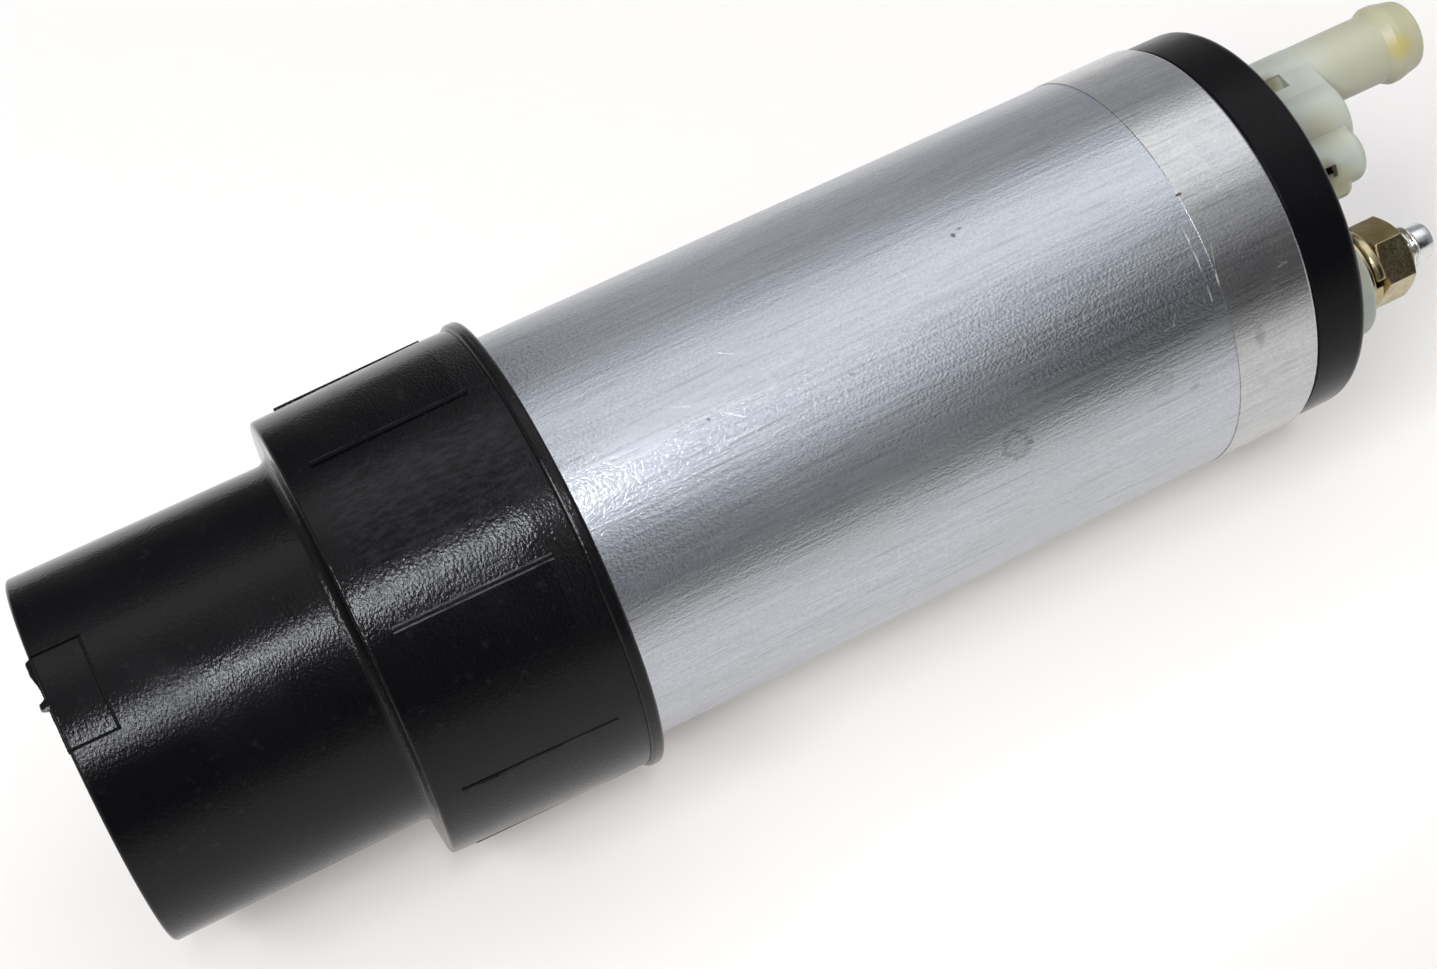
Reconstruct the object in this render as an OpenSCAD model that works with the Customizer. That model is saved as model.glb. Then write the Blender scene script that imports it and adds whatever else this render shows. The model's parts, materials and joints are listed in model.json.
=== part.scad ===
// In-tank electric fuel pump: a drawn can with a turbine pump and a motor inside, a moulded
// outlet cap crimped into its top, and a stepped rubber sleeve on its inlet end.
// Z runs along the pump's axis from the sleeve's open end to the outlet spigot.
// The origin is the centre of the sleeve's open rim. The positive terminal lies on +X.

/* [Sleeve] */
// Outside diameter of the narrow end
tube_d = 37.6; // [36:0.2:39]
// Wall of the narrow end
tube_wall = 2.4; // [1.6:0.1:3]
// Length of the narrow end, from the rim to the step
tube_len = 26.6; // [22:0.2:34]
// Thickness of the floor between the narrow end and the can
shoulder_t = 2.4; // [1.6:0.1:4]
// Wall of the wide end next to the step
grip_wall_step = 1.45; // [1:0.05:1.8]
// Wall of the wide end next to the lip
grip_wall_lip = 1.95; // [1.8:0.05:3]
// Length of the wide end, from the step to the lip's end face
grip_len = 22.1; // [18:0.1:30]
// How far the lip stands out of the wide end
lip_h = 0.45; // [0.3:0.05:1.2]
// Width of the lip along the axis
lip_w = 1.4; // [1:0.1:4]
// Radius of the hollow corner at the step
step_fillet = 1.2; // [0.4:0.1:2]
// Number of ribs along the wide end
rib_count = 8; // [4:1:16]
// Width of a rib
rib_w = 0.5; // [0.4:0.05:1.5]
// How far a rib stands out of the wide end at its start
rib_h = 0.35; // [0.15:0.05:0.6]
// Angle of the first rib about the axis
rib_start = 2.4; // [0:0.2:44]
// Distance from the step to the start of the ribs
rib_gap = 2.7; // [1:0.1:5]
// Distance from the end of the ribs to the lip's end face
rib_end_gap = 3.85; // [3:0.05:6]
// Width across the mould insert's outline on the narrow end, in degrees
insert_angle = 29.1; // [20:0.1:40]
// Height of the mould insert's outline
insert_h = 4.85; // [3:0.05:8]
// Width of the outline's groove
insert_line = 0.3; // [0.2:0.05:0.6]

/* [Can] */
// Outside diameter of the can
can_d = 43; // [42:0.25:44]
// Wall of the can
can_wall = 1.2; // [0.8:0.1:1.3]
// Width of the lip crimped over the inlet cover
inlet_crimp = 2.8; // [1.5:0.1:4]
// Outside radius of the can's inlet corner
inlet_corner = 1; // [0.3:0.1:1.2]
// Outside radius of the can's outlet corner
outlet_corner = 0.5; // [0.2:0.1:1]
// Width of the clear tape round the outlet end
tape_w = 8.9; // [5:0.1:12]
// Thickness of the clear tape
tape_t = 0.08; // [0.05:0.01:0.2]

/* [Outlet cap] */
// Diameter of the cap's neck, inside the end ring
neck_d = 36.4; // [35:0.1:37]
// Height of the cap's deck above the end ring
deck_rise = 1; // [0.5:0.1:2]
// Depth of the plug inside the can
plug_h = 10.8; // [9:0.1:12]
// Depth of the hollow on the plug's underside
cavity_h = 6; // [4:0.1:7]
// Wall round the hollow
cavity_wall = 3.8; // [3.4:0.1:4.6]
// Height of the outlet and relief towers above the deck
tower_h = 11.6; // [10:0.1:14]
// Radius of the relief valve's tower
relief_tower_r = 4.1; // [3.6:0.1:4.4]
// Radius of a brush tower
brush_tower_r = 3; // [2.7:0.1:3.4]
// Height of the brush towers above the deck
brush_tower_h = 10.6; // [9:0.1:11.5]
// Height of the terminal bosses above the deck
boss_h = 6.4; // [5:0.1:9]
// Radius of the positive terminal's boss
boss_r_positive = 6.4; // [5.5:0.1:6.8]
// Radius of the negative terminal's boss
boss_r_negative = 5.2; // [4.5:0.1:5.6]

/* [Outlet spigot] */
// Outside diameter of the spigot
spigot_d = 7.7; // [7.2:0.1:8.6]
// Outside diameter of the bead that holds the hose
bead_d = 8.8; // [8.7:0.1:9.8]
// Height of the spigot above its tower
spigot_h = 13.7; // [13:0.1:20]
// Bore of the spigot
spigot_bore = 4.4; // [3.6:0.1:4.8]
// Diameter of the check valve's chamber
valve_bore = 5.4; // [5:0.1:5.8]

/* [End ring] */
// Outside diameter of the rubber ring
ring_d = 42.5; // [41:0.1:43]
// Width of the rubber ring
ring_w = 6; // [4:0.1:8]
// Radius of the ring's outer corner
ring_round = 1; // [0.5:0.1:2]

/* [Terminals] */
// Thread diameter of the positive stud
stud_d_positive = 4.8; // [4.4:0.1:5]
// Thread diameter of the negative stud
stud_d_negative = 3.9; // [3.6:0.1:4]
// Size across the flats of the positive nut
nut_flats_positive = 8; // [7.5:0.5:8.5]
// Size across the flats of the negative nut
nut_flats_negative = 7; // [6.5:0.5:7]
// Height of the positive nut
nut_h_positive = 4; // [3:0.1:5]
// Height of the negative nut
nut_h_negative = 3.2; // [2.5:0.1:4]
// Outside diameter of the positive plain washer
washer_d_positive = 10; // [9:0.1:11]
// Outside diameter of the negative plain washer
washer_d_negative = 8; // [7.4:0.1:8.1]
// Thickness of the plain washers
washer_t = 0.9; // [0.6:0.1:1.2]
// Outside diameter of the positive spring washer
spring_washer_d_positive = 9.2; // [8.4:0.1:9.4]
// Outside diameter of the negative spring washer
spring_washer_d_negative = 7.6; // [7:0.1:8]
// Height of the spring washers when tightened
spring_washer_t = 1.7; // [1:0.1:2]
// Diameter of the positive stud's head, inside the cap
stud_head_positive = 8; // [7:0.1:8.6]
// Diameter of the negative stud's head, inside the cap
stud_head_negative = 6.8; // [6:0.1:7.2]
// Length of thread left above a nut
thread_above_nut = 2.2; // [1:0.1:4]
// Length of the plain point on a stud
point_len = 2; // [1:0.1:3]

/* [Turbine pump] */
// Thickness of the inlet cover
cover_t = 8; // [7:0.1:9]
// Length of the inlet nipple below the cover
nipple_len = 13; // [8:0.5:18]
// Outside diameter of the inlet nipple
nipple_d = 10; // [9.4:0.2:10.6]
// Bore of the inlet nipple
nipple_bore = 6.8; // [5.6:0.1:7.4]
// Thickness of the impeller
impeller_t = 3.9; // [3:0.1:5]
// Diameter of the impeller
impeller_d = 31; // [30:0.1:31.4]
// Number of the impeller's vane slots
vane_count = 30; // [20:1:36]
// Running gap on each face of the impeller
face_gap = 0.05; // [0.03:0.01:0.08]
// Radial gap between the impeller and its ring
rim_gap = 0.15; // [0.1:0.05:0.4]
// Radius of the side channels' section
channel_r = 1.7; // [1.2:0.1:2]
// Thickness of the upper pump plate
plate_t = 7; // [6:0.1:8]

/* [Motor] */
// Diameter of the armature shaft
shaft_d = 4; // [3.6:0.1:4.2]
// Radial running gap in the two bushes
bush_gap = 0.02; // [0.015:0.005:0.04]
// Wall of the steel flux ring
flux_wall = 2; // [1.5:0.1:2.4]
// Thickness of the magnets
magnet_t = 4.6; // [4:0.1:5]
// Length of the magnets
magnet_len = 44; // [38:0.5:46]
// Angle that each magnet covers
magnet_angle = 140; // [120:1:146]
// Air gap between the magnets and the armature
air_gap = 0.8; // [0.4:0.1:1.2]
// Length of the armature's lamination stack, which sets the can's length
stack_len = 40; // [36:0.5:60]
// Free length of shaft between the pump plate and the windings
shaft_room = 6.05; // [3:0.05:8]
// Number of slots in the stack
slot_count = 12; // [8:1:14]
// Height of the winding heads beyond the stack
head_h = 5; // [4:0.1:5.2]
// Clearance between the commutator's face and the rear bush
face_room = 3.15; // [2:0.05:5]
// Diameter of the flat commutator
commutator_d = 18; // [16:0.2:20]
// Height of the commutator
commutator_h = 4.2; // [3:0.1:5]
// Number of commutator segments
segment_count = 12; // [8:1:14]
// Width and depth of a carbon brush
brush_w = 3; // [2.6:0.1:3.1]
// Length of a carbon brush
brush_len = 12; // [9:0.5:14]

/* [Valves] */
// Diameter of the check valve's head
poppet_d = 4.6; // [4:0.1:4.8]
// Bore of the check valve's seat
seat_bore = 3; // [2:0.1:3.4]
// Height of the check valve's seat insert
seat_h = 5; // [3:0.1:6]
// Diameter of the relief valve's ball
ball_d = 3.5; // [3:0.1:3.7]
// Diameter of the relief valve's seat hole
relief_hole_d = 2.4; // [1.6:0.1:2.6]
// Diameter of the relief valve's chamber
relief_bore = 4.2; // [4:0.1:4.6]
// Thickness of the relief valve's plug
plug_t = 2; // [1:0.1:3]

/* [Hidden] */
$fn = 96;

// Overrun that keeps a cut clear of the face it passes through
cut = 1;

// Radii from the driving diameters
can_r = can_d / 2;
inner_r = can_r - can_wall;
tube_r = tube_d / 2;
neck_r = neck_d / 2;
ring_r = ring_d / 2;
spigot_r = spigot_d / 2;
bead_r = bead_d / 2;
shaft_r = shaft_d / 2;
impeller_r = impeller_d / 2;

// Small clearances between pieces of the motor
winding_gap = 0.3;
hub_drop = 5;

// Heights along the axis, from the sleeve's rim upwards
seat_z = tube_len + shoulder_t;
lip_end_z = tube_len + grip_len;
cover_z = seat_z + can_wall;
cover_top_z = cover_z + cover_t;
ring_gap_t = impeller_t + 2 * face_gap;
plate_z = cover_top_z + ring_gap_t;
plate_top_z = plate_z + plate_t;
stack_z = plate_top_z + shaft_room + head_h;
stack_top_z = stack_z + stack_len;
commutator_z = stack_top_z + head_h + winding_gap;
face_z = commutator_z + commutator_h;
rear_bush_z = face_z + face_room;
roof_z = rear_bush_z + hub_drop;
plug_z = roof_z - cavity_h;
plug_top_z = plug_z + plug_h;
can_top_z = plug_top_z + can_wall;
ring_top_z = can_top_z + ring_w;
deck_z = ring_top_z + deck_rise;
tower_top_z = deck_z + tower_h;
brush_tower_top_z = deck_z + brush_tower_h;
boss_top_z = deck_z + boss_h;
spigot_top_z = tower_top_z + spigot_h;

// Play between a washer and its stud
washer_play = 0.2;

// Places on the cap, seen along the axis
outlet_xy = [-10.7, 0];
relief_xy = [-5.9, -3.4];
brush_xy = [-1.5, -6];
positive_xy = [10.3, 0];
negative_xy = [-3, 11.5];
lug_xy = [0.9, -5.9];
outlet_tower_r = 3.9;
lug_r = 1.6;
lug_h = 8.6;
nipple_xy = [-8, 0];

// Sleeve details
grip_step_r = can_r + grip_wall_step;
grip_lip_r = can_r + grip_wall_lip;
rib_z = tube_len + rib_gap;
rib_end_z = lip_end_z - rib_end_gap;
taper_run = 4.35;
rim_round = 0.4;
step_round = 0.4;
sleeve_chamfer = 0.4;
insert_depth = 0.25;
insert_mid = -109.25;

// Motor places along the axis
magnet_z = stack_z + (stack_len - magnet_len) / 2;
flux_in_r = inner_r - flux_wall;
magnet_in_r = flux_in_r - magnet_t;
stack_r = magnet_in_r - air_gap;
brush_lift = 0.05;
brush_z = face_z + brush_lift;
brush_top_z = brush_z + brush_len;
brush_cap_t = 2;
brush_bore_top_z = brush_tower_top_z - brush_cap_t;
brush_angle = atan2(brush_xy[1], brush_xy[0]);
brush_r = norm(brush_xy);
brush_slack = 0.1;
brush_coil_r = 1.15;
brush_wire_d = 0.35;
guide_xy = brush_xy;
guide_gap = 3;
hub_r = 4.2;
bush_wall_rear = 1.2;
bush_wall_front = 1.6;
rear_bush_len = 6;
thrust_t = 1;
thrust_r = 2.5;
thrust_z = cover_top_z - 5.2;
shaft_z = thrust_z + thrust_t + face_gap;
shaft_top_z = rear_bush_z + rear_bush_len - 0.5;
flat_depth = 0.5;
channel_mid_r = impeller_r - 0.2 - channel_r;
port_r = 2;

// Valve places along the axis
seat_top_z = roof_z + seat_h;
poppet_z = seat_top_z + 0.05;
poppet_head_t = 1.5;
poppet_stem_len = 4.8;
chamber_top_z = deck_z + 5.6;
valve_wire_d = 0.4;
relief_seat_z = deck_z - 2.4;
relief_lift = 0.03;
ball_r = ball_d / 2;
ball_z = relief_seat_z + sqrt(ball_r * ball_r - pow(relief_hole_d / 2, 2)) + relief_lift;
relief_wire_d = 0.35;
relief_coil_r = 1.3;
plug_bottom_z = tower_top_z - 0.3 - plug_t;
relief_spring_z = ball_z + sqrt(pow(ball_r + relief_wire_d / 2, 2) - pow(relief_coil_r, 2))
    - relief_wire_d / 2 + 0.02;

// Seal groove
seal_r = 0.75;
seal_z = roof_z - 0.7;

function arc(centre, r, from, to, steps = 6) =
    [for (i = [0:steps])
        let (a = from + (to - from) * i / steps)
        [centre[0] + r * cos(a), centre[1] + r * sin(a)]];

function turned(p, a) = [p[0] * cos(a) - p[1] * sin(a), p[0] * sin(a) + p[1] * cos(a)];

// A round tube or, with no bore, a round bar
module pipe(r_out, r_in, z0, z1) {
    difference() {
        translate([0, 0, z0]) cylinder(r = r_out, h = z1 - z0);
        if (r_in > 0) translate([0, 0, z0 - cut]) cylinder(r = r_in, h = z1 - z0 + 2 * cut);
    }
}

// The part of a ring between two angles less than 180 degrees apart, as a flat shape
module ring_sector(r_out, r_in, from, to) {
    mid = (from + to) / 2;
    reach = 2 * r_out;
    intersection() {
        difference() {
            circle(r = r_out);
            circle(r = r_in);
        }
        polygon([[0, 0], [reach * cos(from), reach * sin(from)],
            [reach * cos(mid), reach * sin(mid)], [reach * cos(to), reach * sin(to)]]);
    }
}

// A web that joins two round towers along their common sides
module web(a, ra, b, rb) {
    run = (b - a) / norm(b - a);
    side = [-run[1], run[0]];
    polygon([a + side * ra, b + side * rb, b - side * rb, a - side * ra]);
}

// Height of a coil spring's wire at a share of its turns, with its end turns closed
function coil_height(t, turns, length, wire) =
    t < 1 ? wire * t
    : t > turns - 1 ? length - wire * (turns - t)
    : wire + (length - 2 * wire) * (t - 1) / (turns - 2);

// A coil spring of round wire that stands between two heights
module coil_spring(r, wire, z0, z1, turns, steps = 14, sides = 6) {
    length = z1 - z0 - wire;
    rings = turns * steps;
    points = [for (i = [0:rings], j = [0:sides - 1])
        let (t = i / steps, a = 360 * t, b = 360 * j / sides,
            out = r + wire / 2 * cos(b))
        [out * cos(a), out * sin(a),
            z0 + wire / 2 + coil_height(t, turns, length, wire) + wire / 2 * sin(b)]];
    walls = [for (i = [0:rings - 1], j = [0:sides - 1])
        let (k = (j + 1) % sides)
        [i * sides + j, i * sides + k, (i + 1) * sides + k, (i + 1) * sides + j]];
    start = [for (j = [sides - 1:-1:0]) j];
    end = [for (j = [0:sides - 1]) rings * sides + j];
    polyhedron(points = points, faces = concat([start], walls, [end]));
}

module rubber_sleeve() {
    color([0.08, 0.08, 0.09])
    difference() {
        union() {
            rotate_extrude() polygon(concat(
                [[tube_r - tube_wall + sleeve_chamfer, 0]],
                arc([tube_r - rim_round, rim_round], rim_round, -90, 0),
                arc([tube_r + step_fillet, tube_len - step_fillet], step_fillet, 180, 90),
                arc([grip_step_r - step_round, tube_len + step_round], step_round, -90, 0),
                [[grip_lip_r, lip_end_z - taper_run]],
                arc([grip_lip_r, lip_end_z - lip_w + lip_h], lip_h, -90, 0),
                arc([grip_lip_r, lip_end_z - lip_h], lip_h, 0, 90),
                [[can_r, lip_end_z], [can_r, seat_z], [tube_r - tube_wall, seat_z],
                    [tube_r - tube_wall, sleeve_chamfer]]));
            for (i = [0:rib_count - 1])
                rotate([0, 0, rib_start - 90 + i * 360 / rib_count])
                    rotate([90, 0, 0]) linear_extrude(rib_w, center = true)
                        polygon([[grip_step_r - 0.5, rib_z], [grip_step_r + rib_h, rib_z],
                            [grip_lip_r + rib_h / 2, rib_end_z], [grip_step_r - 0.5, rib_end_z]]);
        }
        insert_outline();
    }
}

// Groove left round a mould insert, on the narrow end's rim
module insert_outline() {
    for (side = [-1, 1])
        rotate([0, 0, insert_mid + side * insert_angle / 2])
            translate([tube_r - insert_depth, -insert_line / 2, -cut])
                cube([2 * insert_depth, insert_line, insert_h + cut]);
    translate([0, 0, insert_h - insert_line])
        linear_extrude(insert_line)
            ring_sector(tube_r + insert_depth, tube_r - insert_depth,
                insert_mid - insert_angle / 2, insert_mid + insert_angle / 2);
}

module pump_can() {
    color([0.66, 0.68, 0.71])
    rotate_extrude() polygon(concat(
        [[inner_r - inlet_crimp, seat_z]],
        arc([can_r - inlet_corner, seat_z + inlet_corner], inlet_corner, -90, 0),
        arc([can_r - outlet_corner, can_top_z - outlet_corner], outlet_corner, 0, 90),
        [[neck_r + 0.2, can_top_z], [neck_r + 0.2, plug_top_z], [inner_r, plug_top_z],
            [inner_r, cover_z], [inner_r - inlet_crimp, cover_z]]));
}

module tape_band() {
    color([0.86, 0.84, 0.8])
    pipe(can_r + tape_t, can_r, can_top_z - outlet_corner - tape_w, can_top_z - outlet_corner);
}

module end_ring() {
    color([0.06, 0.06, 0.07])
    rotate_extrude() polygon(concat(
        [[neck_r, can_top_z], [ring_r - 0.25, can_top_z], [ring_r, can_top_z + 0.25]],
        arc([ring_r - ring_round, ring_top_z - ring_round], ring_round, 0, 90),
        [[neck_r, ring_top_z]]));
}

// Outer form of the outlet spigot, from inside its tower to its rounded nose
module spigot_form() {
    crest_z = spigot_top_z - 3.6;
    land = 0.8;
    nose_r = 0.8;
    shoulder_r = bead_r - 0.45;
    rotate_extrude() polygon(concat(
        [[0, tower_top_z - cut], [spigot_r, tower_top_z - cut], [spigot_r, crest_z - 1],
            [bead_r, crest_z], [bead_r, crest_z + land], [shoulder_r, spigot_top_z - nose_r]],
        arc([shoulder_r - nose_r, spigot_top_z - nose_r], nose_r, 15, 90),
        [[0, spigot_top_z]]));
}

// A round tower on the cap's deck with a rounded top edge
module tower(place, r, h, edge_r) {
    at(place, deck_z - cut) rotate_extrude() polygon(concat([[0, 0], [r, 0]],
        arc([r - edge_r, h + cut - edge_r], edge_r, 0, 90), [[0, h + cut]]));
}

module cap_towers() {
    edge_r = 0.6;
    web_drop = 0.2;
    tower(outlet_xy, outlet_tower_r, tower_h, edge_r);
    tower(relief_xy, relief_tower_r, tower_h, edge_r);
    translate([0, 0, deck_z - cut]) linear_extrude(tower_h + cut - web_drop)
        web(outlet_xy, outlet_tower_r - web_drop, relief_xy, relief_tower_r - web_drop);
    for (side = [1, -1])
        tower(side * brush_xy, brush_tower_r, brush_tower_h, 1);
    translate([0, 0, deck_z - cut]) linear_extrude(brush_tower_h + cut - web_drop)
        web(relief_xy, brush_tower_r - 0.6, brush_xy, brush_tower_r - 0.6);
    tower(lug_xy, lug_r, lug_h, 0.9);
    tower(positive_xy, boss_r_positive, boss_h, edge_r);
    tower(negative_xy, boss_r_negative, boss_h, edge_r);
}

// Moves a piece to a place on the cap at a height
module at(place, z) {
    translate([place[0], place[1], z]) children();
}

// Everything that is hollow in the moulded cap
module cap_hollows() {
    difference() {
        translate([0, 0, plug_z - cut]) cylinder(r = inner_r - cavity_wall, h = cavity_h + cut);
        translate([0, 0, rear_bush_z]) cylinder(r = hub_r, h = cavity_h + cut);
        for (side = [1, -1])
            at(side * guide_xy, face_z + guide_gap)
                cylinder(r = brush_w * 0.71 + 0.9, h = cavity_h + cut);
    }
    translate([0, 0, rear_bush_z - cut])
        cylinder(r = shaft_r + bush_wall_rear, h = rear_bush_len + cut);
    at(outlet_xy, roof_z - cut) cylinder(d = valve_bore, h = chamber_top_z - roof_z + cut);
    at(outlet_xy, roof_z - cut) cylinder(d = spigot_bore, h = spigot_top_z - roof_z + 2 * cut);
    at(relief_xy, roof_z - cut) cylinder(d = relief_hole_d, h = relief_seat_z - roof_z + 2 * cut);
    at(relief_xy, relief_seat_z) cylinder(d = relief_bore, h = tower_top_z - relief_seat_z + cut);
    for (side = [0, 180])
        rotate([0, 0, brush_angle + side])
            translate([brush_r - brush_w / 2 - brush_slack, -brush_w / 2 - brush_slack, face_z])
                cube([brush_w + 2 * brush_slack, brush_w + 2 * brush_slack,
                    brush_bore_top_z - face_z]);
    at(positive_xy, roof_z - cut) cylinder(d = stud_d_positive, h = boss_top_z - roof_z + 2 * cut);
    at(negative_xy, roof_z - cut) cylinder(d = stud_d_negative, h = boss_top_z - roof_z + 2 * cut);
    pipe(inner_r + cut, inner_r - 2 * seal_r, seal_z - seal_r, seal_z + seal_r);
    coring_pockets();
}

// A blind pocket in the front of the outlet tower and a window into the brush bore
module coring_pockets() {
    pocket_w = 1.6;
    pocket_deep = 0.5;
    pocket_h = 8;
    pocket_shift = -0.6;
    window_w = 1.2;
    window_h = 6.6;
    window_shift = 1.1;
    translate([outlet_xy[0] + pocket_shift - pocket_w / 2, outlet_xy[1] - outlet_tower_r - cut, deck_z])
        cube([pocket_w, cut + pocket_deep, pocket_h]);
    translate([brush_xy[0] + window_shift - window_w / 2, brush_xy[1] - brush_tower_r - cut, deck_z])
        cube([window_w, cut + brush_tower_r - brush_w / 2, window_h]);
}

module end_cap() {
    color([0.84, 0.86, 0.82])
    difference() {
        union() {
            pipe(inner_r, 0, plug_z, plug_top_z);
            pipe(neck_r, 0, plug_top_z - cut, deck_z);
            cap_towers();
            at(outlet_xy, 0) spigot_form();
        }
        cap_hollows();
    }
}

// A threaded stud with a round head under the cap's roof and a plain point
module terminal_stud(place, stud_d, head_d, top_z) {
    head_t = 2;
    point_d = stud_d - 0.8;
    chamfer = 0.4;
    color([0.8, 0.8, 0.8])
    at(place, 0) rotate_extrude() polygon([[0, roof_z - head_t], [head_d / 2, roof_z - head_t],
        [head_d / 2, roof_z], [stud_d / 2, roof_z], [stud_d / 2, top_z - point_len - chamfer],
        [point_d / 2, top_z - point_len], [point_d / 2, top_z - chamfer],
        [point_d / 2 - chamfer, top_z], [0, top_z]]);
}

module plain_washer(place, bore, outer) {
    color([0.62, 0.56, 0.36])
    at(place, 0) pipe(outer / 2, bore / 2, boss_top_z, boss_top_z + washer_t);
}

// A lock washer, split across one side
module spring_washer(place, bore, outer) {
    split_w = 0.8;
    split_angle = -48;
    z0 = boss_top_z + washer_t;
    color([0.66, 0.6, 0.4])
    at(place, 0) difference() {
        pipe(outer / 2, bore / 2, z0, z0 + spring_washer_t);
        rotate([0, 0, split_angle]) translate([0, -split_w / 2, z0 - cut])
            cube([outer, split_w, spring_washer_t + 2 * cut]);
    }
}

// A hexagon nut with both faces chamfered
module hex_nut(place, thread, flats, height) {
    corner_r = flats / 2 / cos(30);
    face_r = 0.96 * flats / 2;
    clear_r = corner_r + 0.5;
    chamfer = (clear_r - face_r) * tan(28);
    z0 = boss_top_z + washer_t + spring_washer_t;
    color([0.64, 0.58, 0.38])
    at(place, z0) difference() {
        intersection() {
            rotate([0, 0, 6.5]) cylinder(r = corner_r, h = height, $fn = 6);
            rotate_extrude() polygon([[0, 0], [face_r, 0], [clear_r, chamfer],
                [clear_r, height - chamfer], [face_r, height], [0, height]]);
        }
        translate([0, 0, -cut]) cylinder(d = thread, h = height + 2 * cut);
    }
}

function nut_top(height) = boss_top_z + washer_t + spring_washer_t + height;

module terminal_stud_positive() {
    terminal_stud(positive_xy, stud_d_positive, stud_head_positive,
        nut_top(nut_h_positive) + thread_above_nut + point_len);
}

module plain_washer_positive() {
    plain_washer(positive_xy, stud_d_positive + 2 * washer_play, washer_d_positive);
}

module spring_washer_positive() {
    spring_washer(positive_xy, stud_d_positive + 2 * washer_play, spring_washer_d_positive);
}

module nut_positive() {
    hex_nut(positive_xy, stud_d_positive, nut_flats_positive, nut_h_positive);
}

module terminal_stud_negative() {
    terminal_stud(negative_xy, stud_d_negative, stud_head_negative,
        nut_top(nut_h_negative) + thread_above_nut + point_len);
}

module plain_washer_negative() {
    plain_washer(negative_xy, stud_d_negative + 2 * washer_play, washer_d_negative);
}

module spring_washer_negative() {
    spring_washer(negative_xy, stud_d_negative + 2 * washer_play, spring_washer_d_negative);
}

module nut_negative() {
    hex_nut(negative_xy, stud_d_negative, nut_flats_negative, nut_h_negative);
}

// The side channel of the turbine pump, broken by the stripper
module side_channel(z) {
    stripper_angle = 20;
    difference() {
        translate([0, 0, z]) rotate_extrude() translate([channel_mid_r, 0]) circle(r = channel_r);
        rotate([0, 0, stripper_angle]) translate([0, -3, z - 3]) cube([impeller_d, 6, 6]);
    }
}

module inlet_cover() {
    barb_h = 0.4;
    nipple_z = cover_z - nipple_len;
    port_roof = 1.3;
    port_rise = 3.6;
    color([0.7, 0.7, 0.7])
    difference() {
        union() {
            pipe(inner_r, 0, cover_z, cover_top_z);
            at(nipple_xy, 0) rotate_extrude() polygon([[0, nipple_z], [nipple_d / 2 - 0.4, nipple_z],
                [nipple_d / 2 + barb_h, nipple_z + 2], [nipple_d / 2 + barb_h, nipple_z + 3],
                [nipple_d / 2, nipple_z + 3.4], [nipple_d / 2, cover_z + cut], [0, cover_z + cut]]);
        }
        at(nipple_xy, nipple_z - cut)
            cylinder(d = nipple_bore, h = nipple_len + cover_t - port_roof + cut);
        translate([-channel_mid_r, 0, cover_z + port_rise])
            cylinder(r = port_r, h = cover_t - port_rise + cut);
        side_channel(cover_top_z);
        translate([0, 0, thrust_z]) cylinder(r = thrust_r, h = cover_top_z - thrust_z + cut);
    }
}

module thrust_button() {
    color([0.75, 0.75, 0.77])
    pipe(thrust_r, 0, thrust_z, thrust_z + thrust_t);
}

// Flat shape of the shaft's lower end: round with one flat
module drive_flat(r) {
    intersection() {
        circle(r = r);
        translate([-r - cut, -r - cut]) square([2 * r + cut - flat_depth, 2 * r + 2 * cut]);
    }
}

module impeller() {
    slot_w = 1.3;
    rim_w = 0.6;
    slot_len = 2.5;
    z0 = cover_top_z + face_gap;
    color([0.16, 0.13, 0.1])
    translate([0, 0, z0]) linear_extrude(impeller_t) difference() {
        circle(r = impeller_r);
        drive_flat(shaft_r + 0.05);
        for (i = [0:vane_count - 1])
            rotate(i * 360 / vane_count)
                translate([impeller_r - rim_w - slot_len, -slot_w / 2]) square([slot_len, slot_w]);
        for (i = [0:3])
            rotate(45 + i * 90) translate([6.5, 0]) circle(r = 1.2);
    }
}

module pump_ring() {
    color([0.6, 0.61, 0.63])
    pipe(inner_r, impeller_r + rim_gap, cover_top_z, plate_z);
}

module pump_plate() {
    rib_count_plate = 6;
    recess_in_r = 7;
    recess_out_r = 17.5;
    recess_deep = 3;
    plate_rib_w = 1.6;
    port_angle = -8;
    color([0.68, 0.69, 0.7])
    difference() {
        pipe(inner_r, shaft_r + bush_wall_front, plate_z, plate_top_z);
        side_channel(plate_z);
        rotate([0, 0, port_angle]) translate([channel_mid_r, 0, plate_z - cut])
            cylinder(r = port_r, h = plate_t + 2 * cut);
        translate([0, 0, plate_top_z - recess_deep]) linear_extrude(recess_deep + cut)
            difference() {
                circle(r = recess_out_r);
                circle(r = recess_in_r);
                for (i = [0:rib_count_plate - 1])
                    rotate(i * 360 / rib_count_plate + 30)
                        translate([0, -plate_rib_w / 2]) square([inner_r, plate_rib_w]);
            }
    }
}

module front_bush() {
    color([0.72, 0.5, 0.3])
    pipe(shaft_r + bush_wall_front, shaft_r + bush_gap, plate_z, plate_top_z);
}

module rear_bush() {
    color([0.72, 0.5, 0.3])
    pipe(shaft_r + bush_wall_rear, shaft_r + bush_gap, rear_bush_z, rear_bush_z + rear_bush_len);
}

module armature_shaft() {
    end_chamfer = 0.3;
    color([0.78, 0.78, 0.8])
    difference() {
        rotate_extrude() polygon([[0, shaft_z], [shaft_r - end_chamfer, shaft_z],
            [shaft_r, shaft_z + end_chamfer], [shaft_r, shaft_top_z - end_chamfer],
            [shaft_r - end_chamfer, shaft_top_z], [0, shaft_top_z]]);
        translate([shaft_r - flat_depth, -shaft_d, shaft_z - cut])
            cube([shaft_d, 2 * shaft_d, plate_z - shaft_z + cut]);
    }
}

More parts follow.
